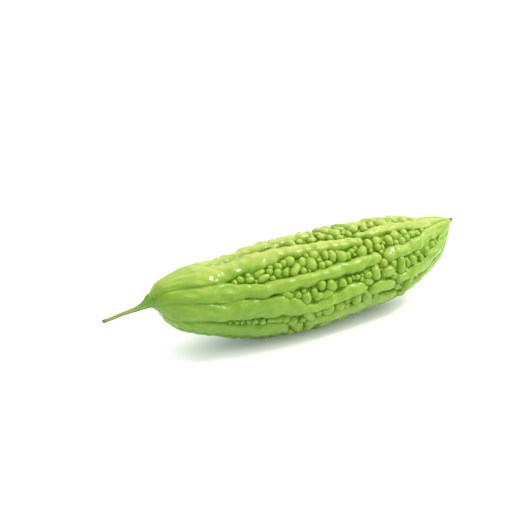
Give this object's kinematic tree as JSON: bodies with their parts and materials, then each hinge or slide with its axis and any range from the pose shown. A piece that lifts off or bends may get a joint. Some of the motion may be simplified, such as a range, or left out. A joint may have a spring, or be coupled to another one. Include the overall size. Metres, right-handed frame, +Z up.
{
  "type": "bitter gourd",
  "caption": "Whole bitter gourd lying on its belly, with long broken ridges, packed round warts between them, a short stalk and a dried flower scar.",
  "frame": {"origin": "on the surface the gourd lies on, under the middle of its overall box", "axes": "+X along the fruit from the stem end to the blossom end, +Z up, +Y away from the front"},
  "size_m": [0.2542, 0.0621, 0.0613],
  "materials": {
    "skin": "waxy, half gloss, bright yellow green",
    "stalk": "dull green, slightly fibrous",
    "scar": "dry and matt"
  },
  "bodies": {
    "root": {"gourd": "skin", "stem": "stalk", "blossom_scar": "scar"}
  },
  "joints": []
}
